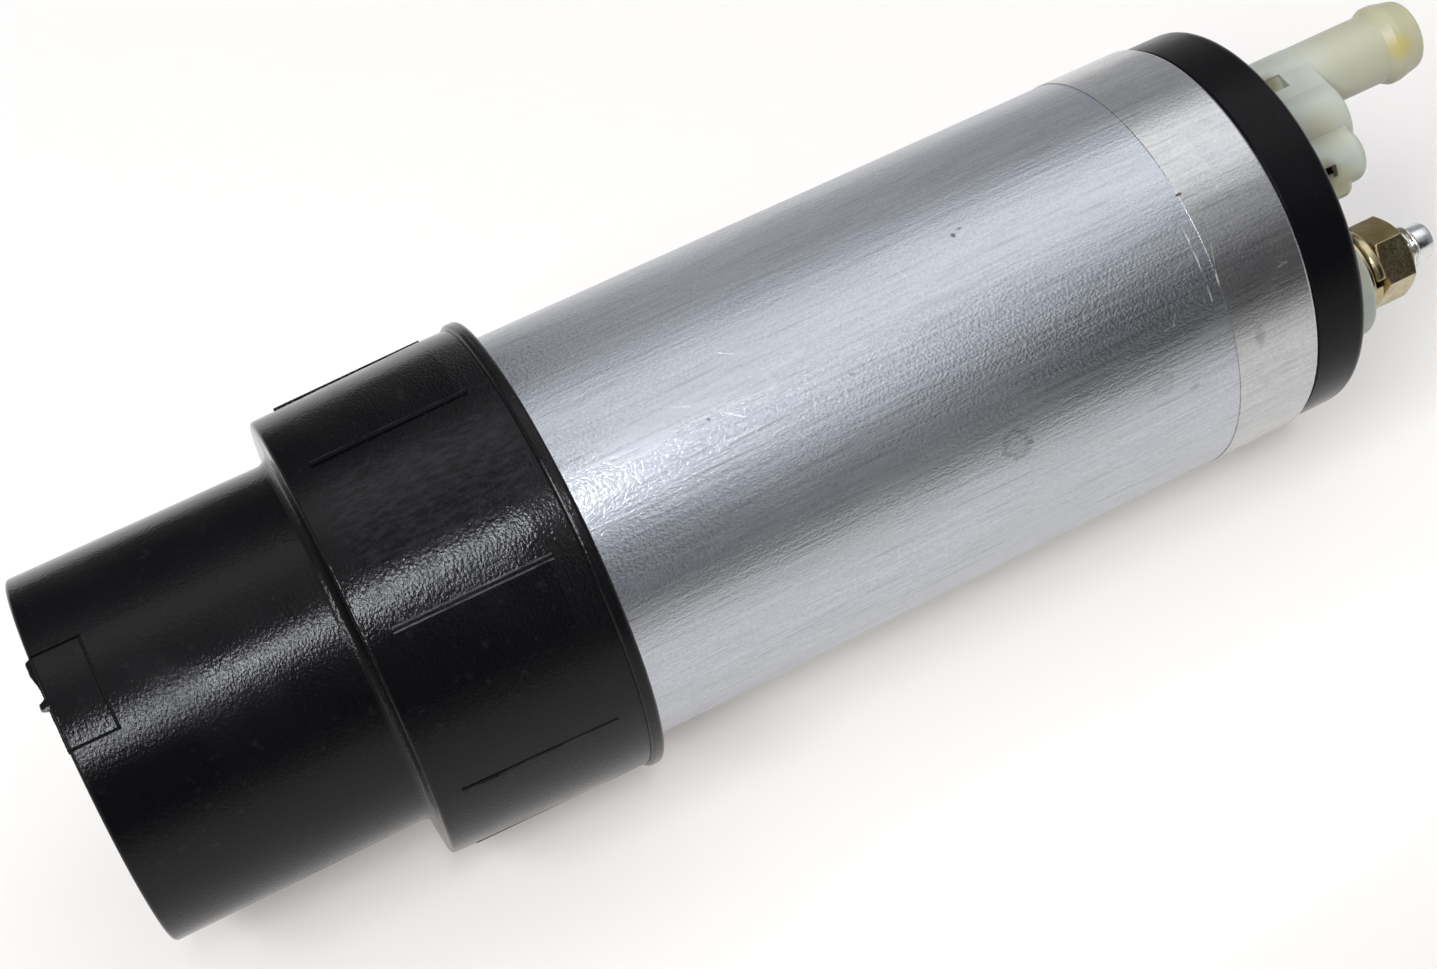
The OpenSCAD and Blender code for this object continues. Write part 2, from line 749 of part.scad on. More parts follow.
// Flat shape of one winding slot: a tapered pocket that keeps clear of its neighbours
module slot_pocket(grow) {
    bottom_r = 5.6;
    top_r = stack_r - 1.6;
    tooth_w = 1.9;
    half = 180 / slot_count;
    bottom_w = bottom_r * tan(half) - tooth_w / 2;
    top_w = top_r * tan(half) - tooth_w / 2;
    polygon([[bottom_r - grow, -bottom_w - grow], [top_r + grow, -top_w - grow],
        [top_r + grow, top_w + grow], [bottom_r - grow, bottom_w + grow]]);
}

module armature_stack() {
    slot_mouth = 1.2;
    color([0.45, 0.46, 0.48])
    translate([0, 0, stack_z]) linear_extrude(stack_len) difference() {
        circle(r = stack_r);
        circle(r = shaft_r);
        for (i = [0:slot_count - 1])
            rotate((i + 0.5) * 360 / slot_count) {
                slot_pocket(0);
                translate([stack_r - 2.6, -slot_mouth / 2]) square([4, slot_mouth]);
            }
    }
}

module armature_windings() {
    head_in_r = 4.2;
    head_out_r = stack_r - 1.2;
    round_r = 1.6;
    color([0.72, 0.36, 0.18]) {
        translate([0, 0, stack_z - cut / 2]) linear_extrude(stack_len + cut)
            for (i = [0:slot_count - 1])
                rotate((i + 0.5) * 360 / slot_count) slot_pocket(-0.08);
        for (end = [[stack_z - head_h, 0], [stack_top_z, 1]])
            translate([0, 0, end[0]]) rotate_extrude() polygon(end[1] == 0
                ? concat([[head_in_r, head_h]], arc([head_in_r + round_r, round_r], round_r, 180, 270),
                    arc([head_out_r - round_r, round_r], round_r, -90, 0), [[head_out_r, head_h]])
                : concat([[head_in_r, 0], [head_out_r, 0]],
                    arc([head_out_r - round_r, head_h - round_r], round_r, 0, 90),
                    arc([head_in_r + round_r, head_h - round_r], round_r, 90, 180)));
    }
}

module commutator() {
    slot_w = 0.5;
    slot_deep = 1.6;
    hub_out_r = 3.6;
    foot_r = 5;
    foot_h = 1.4;
    color([0.7, 0.42, 0.26])
    difference() {
        rotate_extrude() polygon([[shaft_r, commutator_z], [foot_r, commutator_z],
            [foot_r, commutator_z + foot_h], [commutator_d / 2, commutator_z + foot_h],
            [commutator_d / 2, face_z], [shaft_r, face_z]]);
        translate([0, 0, face_z - slot_deep]) linear_extrude(slot_deep + cut) {
            difference() {
                circle(r = hub_out_r);
                circle(r = shaft_r + 0.6);
            }
            for (i = [0:segment_count - 1])
                rotate(i * 360 / segment_count) translate([hub_out_r - 0.2, -slot_w / 2])
                    square([commutator_d, slot_w]);
        }
    }
}

module flux_ring() {
    color([0.5, 0.51, 0.53])
    pipe(inner_r, flux_in_r, plate_top_z, plug_z);
}

module field_magnet(mid) {
    color([0.24, 0.24, 0.26])
    translate([0, 0, magnet_z]) linear_extrude(magnet_len)
        ring_sector(flux_in_r, magnet_in_r, mid - magnet_angle / 2, mid + magnet_angle / 2);
}

module field_magnet_a() {
    field_magnet(0);
}

module field_magnet_b() {
    field_magnet(180);
}

// Two bent spring clips that wedge the magnets apart
module magnet_clips() {
    clip_t = 0.5;
    half = (180 - magnet_angle) / 2;
    leg_len = 3;
    color([0.7, 0.71, 0.72])
    for (mid = [90, 270])
        translate([0, 0, magnet_z]) linear_extrude(magnet_len) union() {
            ring_sector(flux_in_r, flux_in_r - clip_t, mid - half, mid + half);
            for (side = [-1, 1])
                rotate(mid + side * half)
                    translate([flux_in_r - leg_len, side > 0 ? -clip_t : 0])
                        square([leg_len - clip_t / 2, clip_t]);
        }
}

module brush(side) {
    color([0.2, 0.2, 0.2])
    rotate([0, 0, brush_angle + side])
        translate([brush_r - brush_w / 2, -brush_w / 2, brush_z])
            cube([brush_w, brush_w, brush_len]);
}

module brush_a() {
    brush(0);
}

module brush_b() {
    brush(180);
}

module brush_spring(side) {
    color([0.8, 0.78, 0.7])
    rotate([0, 0, brush_angle + side]) translate([brush_r, 0, 0])
        coil_spring(brush_coil_r, brush_wire_d, brush_top_z, brush_bore_top_z, 10);
}

module brush_spring_a() {
    brush_spring(0);
}

module brush_spring_b() {
    brush_spring(180);
}

module valve_seat() {
    color([0.75, 0.6, 0.35])
    at(outlet_xy, 0) pipe(valve_bore / 2, seat_bore / 2, roof_z, seat_top_z);
}

module check_valve() {
    nose_r = seat_bore / 2 - 0.25;
    nose_drop = 0.8;
    stem_r = 0.8;
    color([0.15, 0.15, 0.15])
    at(outlet_xy, 0) rotate_extrude() polygon([[0, poppet_z - nose_drop],
        [nose_r - 0.5, poppet_z - nose_drop], [nose_r, poppet_z], [poppet_d / 2, poppet_z],
        [poppet_d / 2, poppet_z + poppet_head_t], [stem_r, poppet_z + poppet_head_t],
        [stem_r, poppet_z + poppet_head_t + poppet_stem_len],
        [0, poppet_z + poppet_head_t + poppet_stem_len]]);
}

module check_valve_spring() {
    coil_r = valve_bore / 2 - 0.3 - valve_wire_d / 2;
    color([0.8, 0.8, 0.82])
    at(outlet_xy, 0) coil_spring(coil_r, valve_wire_d,
        poppet_z + poppet_head_t, chamber_top_z, 7);
}

module relief_ball() {
    color([0.85, 0.85, 0.87])
    at(relief_xy, ball_z) sphere(r = ball_r);
}

module relief_spring() {
    color([0.8, 0.8, 0.82])
    at(relief_xy, 0) coil_spring(relief_coil_r, relief_wire_d, relief_spring_z, plug_bottom_z, 7);
}

module relief_plug() {
    vent_r = 0.8;
    color([0.75, 0.62, 0.36])
    at(relief_xy, 0) pipe(relief_bore / 2, vent_r, plug_bottom_z, plug_bottom_z + plug_t);
}

module cap_seal() {
    color([0.1, 0.1, 0.1])
    translate([0, 0, seal_z]) rotate_extrude() translate([inner_r - seal_r, 0]) circle(r = seal_r);
}

rubber_sleeve();
pump_can();
tape_band();
end_ring();
end_cap();
terminal_stud_positive();
plain_washer_positive();
spring_washer_positive();
nut_positive();
terminal_stud_negative();
plain_washer_negative();
spring_washer_negative();
nut_negative();
inlet_cover();
thrust_button();
impeller();
pump_ring();
pump_plate();
front_bush();
rear_bush();
armature_shaft();
armature_stack();
armature_windings();
commutator();
flux_ring();
field_magnet_a();
field_magnet_b();
magnet_clips();
brush_a();
brush_b();
brush_spring_a();
brush_spring_b();
valve_seat();
check_valve();
check_valve_spring();
relief_ball();
relief_spring();
relief_plug();
cap_seal();
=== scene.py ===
"""Studio scene for the in-tank fuel pump.

The pump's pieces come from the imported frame. This script dresses them in their finishes, cuts
the threads of the terminal studs, adds the moulding flash of the sleeve, and sets the floor,
the lamps and the camera.
"""
import json
import math
import random

import bmesh
import bpy
from mathutils import Matrix, Vector


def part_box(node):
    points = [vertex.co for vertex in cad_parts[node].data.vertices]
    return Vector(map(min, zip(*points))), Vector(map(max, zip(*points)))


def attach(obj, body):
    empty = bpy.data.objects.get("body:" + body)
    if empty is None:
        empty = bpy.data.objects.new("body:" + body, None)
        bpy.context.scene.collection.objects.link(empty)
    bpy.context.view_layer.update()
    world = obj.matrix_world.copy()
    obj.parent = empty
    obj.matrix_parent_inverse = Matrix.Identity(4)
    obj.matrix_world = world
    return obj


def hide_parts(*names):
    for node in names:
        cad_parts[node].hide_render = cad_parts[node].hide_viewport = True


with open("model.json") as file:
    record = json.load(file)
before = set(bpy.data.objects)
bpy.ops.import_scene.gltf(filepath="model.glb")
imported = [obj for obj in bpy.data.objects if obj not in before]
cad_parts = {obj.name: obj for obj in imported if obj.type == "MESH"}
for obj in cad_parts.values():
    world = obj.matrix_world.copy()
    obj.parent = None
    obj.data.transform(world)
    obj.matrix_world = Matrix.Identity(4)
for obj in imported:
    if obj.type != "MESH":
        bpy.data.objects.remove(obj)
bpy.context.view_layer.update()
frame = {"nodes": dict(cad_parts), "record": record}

MM = 0.001
PUMP = "pump"

CAN_RADIUS = 21.5
TUBE_RADIUS = 18.8
LIP_RADIUS = 23.9


def fill(tree, socket, value):
    """Links a socket to another one, or gives it a plain value."""
    if isinstance(value, bpy.types.NodeSocket):
        tree.links.new(value, socket)
    else:
        socket.default_value = value


def node(tree, kind, inputs=None, **settings):
    """Adds a shader node with its settings, and fills the inputs that are named or numbered."""
    made = tree.nodes.new(kind)
    for name, value in settings.items():
        setattr(made, name, value)
    for name, value in (inputs or {}).items():
        fill(tree, made.inputs[name], value)
    return made


def maths(tree, operation, *values):
    """The result of a Math node."""
    inputs = dict(enumerate(values))
    return node(tree, "ShaderNodeMath", inputs, operation=operation).outputs[0]


def blend(tree, factor, below, above, mode="MIX"):
    """The colour of a Mix node."""
    made = node(tree, "ShaderNodeMix", data_type="RGBA", blend_type=mode)
    fill(tree, made.inputs["Factor"], factor)
    fill(tree, made.inputs[6], below)
    fill(tree, made.inputs[7], above)
    return made.outputs[2]


def remap(tree, value, from_low, from_high, to_low=0.0, to_high=1.0):
    """A value moved from one range to another and kept inside it."""
    made = node(tree, "ShaderNodeMapRange", {0: value, 1: from_low, 2: from_high, 3: to_low,
                                             4: to_high})
    return made.outputs[0]


def new_group(name, inputs, outputs):
    """An empty shader node group with named sockets, and its two end nodes."""
    group = bpy.data.node_groups.new(name, "ShaderNodeTree")
    for label, kind, value in inputs:
        socket = group.interface.new_socket(label, in_out="INPUT", socket_type="NodeSocket" + kind)
        if value is not None:
            socket.default_value = value
    for label, kind in outputs:
        group.interface.new_socket(label, in_out="OUTPUT", socket_type="NodeSocket" + kind)
    return group, group.nodes.new("NodeGroupInput"), group.nodes.new("NodeGroupOutput")


def place(tree, group, **inputs):
    """Places a node group in a material with its own values; underscores stand for spaces."""
    made = node(tree, "ShaderNodeGroup", node_tree=group)
    for name, value in inputs.items():
        fill(tree, made.inputs[name.replace("_", " ")], value)
    return made.outputs


def object_place(tree):
    """Coordinates on the pump in millimetres."""
    coordinates = node(tree, "ShaderNodeTexCoord").outputs["Object"]
    return node(tree, "ShaderNodeVectorMath", {0: coordinates, 1: (1000, 1000, 1000)},
                operation="MULTIPLY").outputs[0]


def round_place_group():
    """Where a point lies round the axis, in degrees from the camera's side, and along it."""
    group, start, end = new_group("Round place", [], [("Angle", "Float"), ("Along", "Float"),
                                                      ("Radius", "Float")])
    split = node(group, "ShaderNodeSeparateXYZ", {0: object_place(group)}).outputs
    turn = maths(group, "ARCTAN2", split[0], maths(group, "MULTIPLY", split[1], -1.0))
    fill(group, end.inputs["Angle"], maths(group, "DEGREES", turn))
    fill(group, end.inputs["Along"], split[2])
    square = maths(group, "ADD", maths(group, "POWER", split[0], 2.0),
                   maths(group, "POWER", split[1], 2.0))
    fill(group, end.inputs["Radius"], maths(group, "SQRT", square))
    return group


def grain_group():
    """Noise that can be stretched along the axis, as a mask with a set contrast."""
    group, start, end = new_group(
        "Stretched grain",
        [("Across", "Float", 2.0), ("Along", "Float", 0.2), ("Detail", "Float", 4.0),
         ("Low", "Float", 0.35), ("High", "Float", 0.65), ("Seed", "Float", 0.0)],
        [("Mask", "Float")])
    split = node(group, "ShaderNodeSeparateXYZ", {0: object_place(group)}).outputs
    across = start.outputs["Across"]
    moved = node(group, "ShaderNodeCombineXYZ", {
        0: maths(group, "MULTIPLY", split[0], across),
        1: maths(group, "MULTIPLY", split[1], across),
        2: maths(group, "MULTIPLY", split[2], start.outputs["Along"])}).outputs[0]
    noise = node(group, "ShaderNodeTexNoise", {
        "Vector": moved, "W": start.outputs["Seed"], "Scale": 1.0,
        "Detail": start.outputs["Detail"]}, noise_dimensions="4D").outputs[0]
    mask = remap(group, noise, start.outputs["Low"], start.outputs["High"])
    fill(group, end.inputs["Mask"], mask)
    return group


def spot_group(round_place):
    """A soft spot at a place on the can or the sleeve, with a ragged edge."""
    group, start, end = new_group(
        "Spot",
        [("Angle", "Float", 0.0), ("Along", "Float", 0.0), ("Arc", "Float", 1.0),
         ("Length", "Float", 1.0), ("Ragged", "Float", 0.2), ("Soft", "Float", 0.3)],
        [("Mask", "Float")])
    where = place(group, round_place)
    arc_per_degree = math.pi / 180 * CAN_RADIUS
    aside = maths(group, "MULTIPLY", maths(group, "SUBTRACT", where["Angle"],
                                           start.outputs["Angle"]), arc_per_degree)
    aside = maths(group, "DIVIDE", aside, start.outputs["Arc"])
    ahead = maths(group, "DIVIDE", maths(group, "SUBTRACT", where["Along"],
                                         start.outputs["Along"]), start.outputs["Length"])
    away = maths(group, "SQRT", maths(group, "ADD", maths(group, "POWER", aside, 2.0),
                                      maths(group, "POWER", ahead, 2.0)))
    noise = node(group, "ShaderNodeTexNoise", {"Vector": object_place(group), "Scale": 1.3,
                                               "Detail": 4.0}).outputs[0]
    shaken = maths(group, "ADD", away, maths(group, "MULTIPLY", maths(
        group, "SUBTRACT", noise, 0.5), maths(group, "MULTIPLY", start.outputs["Ragged"], 4.0)))
    made = node(group, "ShaderNodeMapRange", {0: shaken, 1: 1.0, 3: 0.0, 4: 1.0})
    fill(group, made.inputs[2], maths(group, "SUBTRACT", 1.0, start.outputs["Soft"]))
    fill(group, end.inputs["Mask"], made.outputs[0])
    return group


def scratch_group(round_place):
    """A fine straight scratch between two places on the can."""
    group, start, end = new_group(
        "Scratch",
        [("Start angle", "Float", 0.0), ("Start along", "Float", 0.0),
         ("End angle", "Float", 0.0), ("End along", "Float", 1.0), ("Width", "Float", 0.1)],
        [("Mask", "Float")])
    where = place(group, round_place)
    arc = math.pi / 180 * CAN_RADIUS
    give = start.outputs

    def flat(angle, along):
        return node(group, "ShaderNodeCombineXYZ", {
            0: maths(group, "MULTIPLY", angle, arc), 1: along, 2: 0.0}).outputs[0]

    def vector(operation, *values):
        return node(group, "ShaderNodeVectorMath", dict(enumerate(values)),
                    operation=operation).outputs

    here = flat(where["Angle"], where["Along"])
    first = flat(give["Start angle"], give["Start along"])
    last = flat(give["End angle"], give["End along"])
    run = vector("SUBTRACT", last, first)[0]
    reach = vector("SUBTRACT", here, first)[0]
    share = maths(group, "DIVIDE", vector("DOT_PRODUCT", reach, run)["Value"],
                  vector("DOT_PRODUCT", run, run)["Value"])
    held = node(group, "ShaderNodeClamp", {0: share}).outputs[0]
    nearest = vector("SCALE", run)
    fill(group, nearest[0].node.inputs["Scale"], held)
    off = vector("LENGTH", vector("SUBTRACT", reach, nearest[0])[0])["Value"]
    noise = node(group, "ShaderNodeTexNoise", {"Vector": object_place(group), "Scale": 0.8,
                                               "Detail": 2.0}).outputs[0]
    wear_and_painted_highlight = remap(group, noise, 0.35, 0.6)
    line = remap(group, maths(group, "DIVIDE", off, give["Width"]), 1.0, 0.4)
    fill(group, end.inputs["Mask"], maths(group, "MULTIPLY", line, wear_and_painted_highlight))
    return group


def band_group(round_place):
    """A soft-edged patch between two angles and two places along the axis."""
    group, start, end = new_group(
        "Band",
        [("Angle low", "Float", -180.0), ("Angle high", "Float", 180.0),
         ("Along low", "Float", 0.0), ("Along high", "Float", 1.0), ("Soft", "Float", 0.05),
         ("Repeat", "Float", 360.0)],
        [("Mask", "Float")])
    where = place(group, round_place)
    give = start.outputs
    angle = node(group, "ShaderNodeMath", {0: where["Angle"], 1: maths(
        group, "DIVIDE", give["Repeat"], 2.0), 2: maths(
            group, "DIVIDE", give["Repeat"], -2.0)}, operation="WRAP").outputs[0]
    arc = maths(group, "MULTIPLY", give["Soft"], 180 / math.pi / CAN_RADIUS)

    def inside(value, low, high, soft):
        up = maths(group, "DIVIDE", maths(group, "SUBTRACT", value, low), soft)
        down = maths(group, "DIVIDE", maths(group, "SUBTRACT", high, value), soft)
        least = maths(group, "MINIMUM", up, down)
        return node(group, "ShaderNodeClamp", {0: maths(group, "ADD", least, 0.5)}).outputs[0]

    across = inside(angle, give["Angle low"], give["Angle high"], arc)
    along = inside(where["Along"], give["Along low"], give["Along high"], give["Soft"])
    fill(group, end.inputs["Mask"], maths(group, "MULTIPLY", across, along))
    return group


ROUND_PLACE = round_place_group()
BAND = band_group(ROUND_PLACE)
GRAIN = grain_group()
SPOT = spot_group(ROUND_PLACE)
SCRATCH = scratch_group(ROUND_PLACE)


def new_material(name):
    """A material with one Principled BSDF, and its tree and shader."""
    material = bpy.data.materials.new(name)
    material.use_nodes = True
    return material, material.node_tree, material.node_tree.nodes["Principled BSDF"]


def bump(tree, height, strength, distance_mm):
    """A Bump node's normal."""
    return node(tree, "ShaderNodeBump", {"Height": height, "Strength": strength,
                                         "Distance": distance_mm * MM}).outputs[0]


def finish(name, colour, second, roughness, metallic=0.0, grain=(3.0, 3.0), spread=0.08,
           relief=0.02, seed=0.0, specular=0.5):
    """A plain finish: two close colours mixed by a grain that also moves the roughness."""
    material, tree, shader = new_material(name)
    mask = place(tree, GRAIN, Across=grain[0], Along=grain[1], Seed=seed)["Mask"]
    shader.inputs["Metallic"].default_value = metallic
    shader.inputs["Specular IOR Level"].default_value = specular
    fill(tree, shader.inputs["Base Color"], blend(tree, mask, (*colour, 1), (*second, 1)))
    fill(tree, shader.inputs["Roughness"],
         remap(tree, mask, 0.0, 1.0, roughness - spread, roughness + spread))
    fill(tree, shader.inputs["Normal"], bump(tree, mask, 0.4, relief))
    return material


def mark_masks(tree):
    """Dark stains and specks, and pale scratches, of the can and the tape, as two masks."""
    stains = None
    for angle, along, arc, length, ragged, soft, hollow, strength in CAN_STAINS:
        mask = place(tree, SPOT, Angle=angle, Along=along, Arc=arc, Length=length,
                     Ragged=ragged, Soft=soft)["Mask"]
        if hollow:
            inside = place(tree, SPOT, Angle=angle, Along=along, Arc=arc * hollow,
                           Length=length * hollow, Ragged=ragged, Soft=soft)["Mask"]
            mask = maths(tree, "SUBTRACT", mask, maths(tree, "MULTIPLY", inside, 0.8))
        mask = maths(tree, "MULTIPLY", mask, strength)
        stains = mask if stains is None else maths(tree, "MAXIMUM", stains, mask)
    scratches = None
    for a0, z0, a1, z1, width, strength in CAN_SCRATCHES:
        mask = place(tree, SCRATCH, Start_angle=a0, Start_along=z0, End_angle=a1, End_along=z1,
                     Width=width)["Mask"]
        mask = maths(tree, "MULTIPLY", mask, strength)
        scratches = mask if scratches is None else maths(tree, "MAXIMUM", scratches, mask)
    return stains, scratches


def drawn_can(name, taped):
    """Drawn aluminium: a fine glittering grain, lengthwise lines, stains and scratches."""
    material, tree, shader = new_material(name)
    glitter = place(tree, GRAIN, Across=4.6, Along=3.0, Detail=1.0, Low=0.28, High=0.72)["Mask"]
    lines = place(tree, GRAIN, Across=2.6, Along=0.13, Detail=3.0, Low=0.3, High=0.7,
                  Seed=4.0)["Mask"]
    dark_lines = place(tree, GRAIN, Across=2.4, Along=0.1, Detail=2.0, Low=0.6, High=0.7,
                       Seed=6.0)["Mask"]
    mottle = place(tree, GRAIN, Across=0.7, Along=0.5, Detail=5.0, Low=0.35, High=0.65,
                   Seed=2.0)["Mask"]
    broad = place(tree, GRAIN, Across=0.22, Along=0.05, Low=0.35, High=0.65, Seed=9.0)["Mask"]
    stains, scratches = mark_masks(tree)
    tone = maths(tree, "ADD", maths(tree, "MULTIPLY", glitter, 0.5),
                 maths(tree, "MULTIPLY", lines, 0.5))
    if taped:
        base = blend(tree, tone, (0.34, 0.35, 0.37, 1), (0.6, 0.6, 0.59, 1))
        base = blend(tree, maths(tree, "MULTIPLY", mottle, 0.35), base, (0.6, 0.59, 0.57, 1))
    else:
        base = blend(tree, tone, (0.38, 0.4, 0.435, 1), (0.57, 0.59, 0.625, 1))
    base = blend(tree, maths(tree, "MULTIPLY", broad, 0.3), base, (0.48, 0.49, 0.51, 1))
    base = blend(tree, maths(tree, "MULTIPLY", dark_lines, 0.3), base, (0.2, 0.21, 0.24, 1))
    base = blend(tree, stains, base, (0.1, 0.1, 0.095, 1))
    base = blend(tree, scratches, base, (0.85, 0.86, 0.87, 1))
    fill(tree, shader.inputs["Base Color"], base)
    shader.inputs["Metallic"].default_value = 0.93 if taped else 1.0
    shader.inputs["Anisotropic"].default_value = 0.3 if taped else 0.5
    low, high = (0.15, 0.22) if taped else (0.22, 0.3)
    rough = remap(tree, maths(tree, "ADD", maths(tree, "MULTIPLY", broad, 0.6),
                              maths(tree, "MULTIPLY", lines, 0.4)), 0.0, 1.0, low, high)
    fill(tree, shader.inputs["Roughness"],
         maths(tree, "ADD", rough, maths(tree, "MULTIPLY", scratches, 0.25)))
    height = maths(tree, "ADD", maths(tree, "MULTIPLY", glitter, 0.5),
                   maths(tree, "MULTIPLY", lines, 0.5))
    height = maths(tree, "SUBTRACT", height, maths(tree, "MULTIPLY", scratches, 0.5))
    fill(tree, shader.inputs["Normal"], bump(tree, height, 1.0, 0.014 if taped else 0.024))
    return material


# Angle, place along the axis, size round it and along it, raggedness, softness, share that is
# hollow, strength
CAN_STAINS = [
    (-28.5, 93.0, 0.34, 0.3, 0.06, 0.5, 0, 0.85), (-29.6, 93.9, 0.2, 0.3, 0.08, 0.5, 0, 0.55),
    (-12.6, 114.6, 0.18, 0.42, 0.06, 0.4, 0, 0.95),
    (28.5, 89.9, 1.9, 1.7, 0.32, 0.35, 0.72, 0.4), (29.5, 91.3, 0.45, 0.5, 0.3, 0.5, 0, 0.55),
    (31.6, 106.2, 1.3, 1.5, 0.3, 0.4, 0.7, 0.2), (-11.3, 63.4, 0.2, 0.2, 0.1, 0.5, 0, 0.6),
    (36.5, 109.5, 0.4, 0.7, 0.3, 0.5, 0, 0.3), (31.0, 117.2, 1.6, 0.7, 0.3, 0.6, 0, 0.32),
    (-6.5, 77.4, 0.2, 0.25, 0.1, 0.5, 0, 0.5),
]
# Start and end as angle and place along the axis, width, strength
CAN_SCRATCHES = [
    (-4.0, 113.25, 16.0, 113.25, 0.09, 0.7), (2.0, 115.2, 9.0, 114.6, 0.08, 0.4),
    (9.0, 114.6, 13.0, 114.4, 0.1, 0.5), (13.5, 120.8, 15.5, 121.9, 0.12, 0.7),
    (15.5, 120.4, 15.0, 121.9, 0.1, 0.7), (12.0, 109.8, 17.5, 108.6, 0.1, 0.7),
    (17.5, 108.8, 18.0, 107.2, 0.1, 0.7), (-26.0, 67.2, -22.5, 69.4, 0.08, 0.7),
    (-13.0, 64.0, -8.0, 66.5, 0.07, 0.5), (-19.0, 60.0, -16.0, 62.5, 0.08, 0.5),
    (0.0, 70.0, 3.5, 71.0, 0.07, 0.4), (-33.0, 78.0, -30.0, 79.5, 0.07, 0.5),
    (-28.0, 86.0, -23.0, 86.8, 0.07, 0.5), (-24.0, 117.5, -15.0, 118.8, 0.06, 0.25),
    (-15.0, 118.8, -9.5, 118.4, 0.06, 0.25), (4.0, 98.0, 6.5, 99.2, 0.07, 0.5),
]


# The ribs' middle angle and span, and the mould insert's outline on the rim
RIB_ANGLE = 2.4
RIB_SPAN = (29.3, 44.8)
INSERT_ANGLES = (-33.8, -4.7)
INSERT_HEIGHT = 4.85
# Where the sleeve's wide end is rubbed paler
RUBBED_ANGLES = (-36.0, -6.0)
RUBBED_SPAN = (29.0, 47.0)


def sleeve_highlight_and_outline(tree):
    """The ribs' edges, for a painted highlight, and the mould insert's outline, as two masks."""
    wear_and_painted_highlight = None
    # Painted highlight: pale lines along both edges of the middle rib, which faces the lamp strip, and
    # a faint line along one edge of every rib
    for edge, strength, repeat in ((-0.62, 0.7, 360.0), (0.62, 1.0, 360.0), (-0.62, 0.22, 45.0)):
        line = place(tree, BAND, Angle_low=RIB_ANGLE + edge - 0.22, Angle_high=RIB_ANGLE + edge + 0.22,
                     Along_low=RIB_SPAN[0], Along_high=RIB_SPAN[1], Soft=0.06,
                     Repeat=repeat)["Mask"]
        line = maths(tree, "MULTIPLY", line, strength)
        wear_and_painted_highlight = line if wear_and_painted_highlight is None else maths(tree, "MAXIMUM", wear_and_painted_highlight, line)
    across = place(tree, BAND, Angle_low=INSERT_ANGLES[0], Angle_high=INSERT_ANGLES[1],
                   Along_low=INSERT_HEIGHT - 0.25, Along_high=INSERT_HEIGHT, Soft=0.08)["Mask"]
    along = place(tree, BAND, Angle_low=INSERT_ANGLES[1] - 0.3, Angle_high=INSERT_ANGLES[1] + 0.3,
                  Along_low=-1.0, Along_high=INSERT_HEIGHT, Soft=0.08)["Mask"]
    return wear_and_painted_highlight, maths(tree, "MAXIMUM", across, along)


def black_rubber(name, roughness, grain_size, relief, scuff, shine, with_sleeve_marks_and_painted_light=False):
    """Moulded black rubber with a fine grain, duller and glossier places and pale scuffs; on the sleeve
    also a painted highlight along the ribs' edges and painted shade in the insert's outline.
    """
    material, tree, shader = new_material(name)
    grain = place(tree, GRAIN, Across=grain_size * 0.7, Along=grain_size, Detail=2.0, Low=0.25,
                  High=0.75)["Mask"]
    dull = place(tree, GRAIN, Across=0.12, Along=0.12, Detail=3.0, Low=0.4, High=0.65,
                 Seed=8.0)["Mask"]
    dust = place(tree, GRAIN, Across=0.9, Along=0.9, Detail=6.0, Low=0.6, High=0.85,
                 Seed=3.0)["Mask"]
    pale = maths(tree, "MULTIPLY", dust, scuff)
    base = blend(tree, pale, (0.0036, 0.0033, 0.004, 1), (0.06, 0.06, 0.065, 1))
    rough = remap(tree, dull, 0.0, 1.0, roughness - 0.04, roughness + 0.08)
    rough = maths(tree, "ADD", rough, maths(tree, "MULTIPLY", dust, 0.1))
    height = maths(tree, "MULTIPLY", grain, relief)
    if with_sleeve_marks_and_painted_light:
        wear_and_painted_highlight, outline = sleeve_highlight_and_outline(tree)
        broken = place(tree, GRAIN, Across=1.2, Along=0.6, Detail=3.0, Low=0.3, High=0.6,
                       Seed=11.0)["Mask"]
        wear_and_painted_highlight = maths(tree, "MULTIPLY", wear_and_painted_highlight, broken)
        # Painted highlight: the rib edges turn paler
        base = blend(tree, maths(tree, "MULTIPLY", wear_and_painted_highlight, 0.6), base, (0.16, 0.16, 0.17, 1))
        rubbed = place(tree, BAND, Angle_low=RUBBED_ANGLES[0], Angle_high=RUBBED_ANGLES[1],
                       Along_low=RUBBED_SPAN[0], Along_high=RUBBED_SPAN[1], Soft=3.0)["Mask"]
        streaks = place(tree, GRAIN, Across=2.2, Along=0.7, Detail=6.0, Low=0.4, High=0.8,
                        Seed=14.0)["Mask"]
        base = blend(tree, maths(tree, "MULTIPLY", rubbed, streaks), base,
                     (0.017, 0.018, 0.02, 1))
        # Painted shade: the insert's outline groove is darkened; its extra roughness and dent below are
        # the groove's own
        base = blend(tree, outline, base, (0.0005, 0.0005, 0.0005, 1))
        rough = maths(tree, "ADD", rough, maths(tree, "MULTIPLY", outline, 0.6))
        height = maths(tree, "SUBTRACT", height, maths(tree, "MULTIPLY", outline, 0.12))
    fill(tree, shader.inputs["Base Color"], base)
    shader.inputs["Specular IOR Level"].default_value = shine
    fill(tree, shader.inputs["Roughness"], rough)
    fill(tree, shader.inputs["Normal"], bump(tree, height, 1.0, 1.0))
    return material


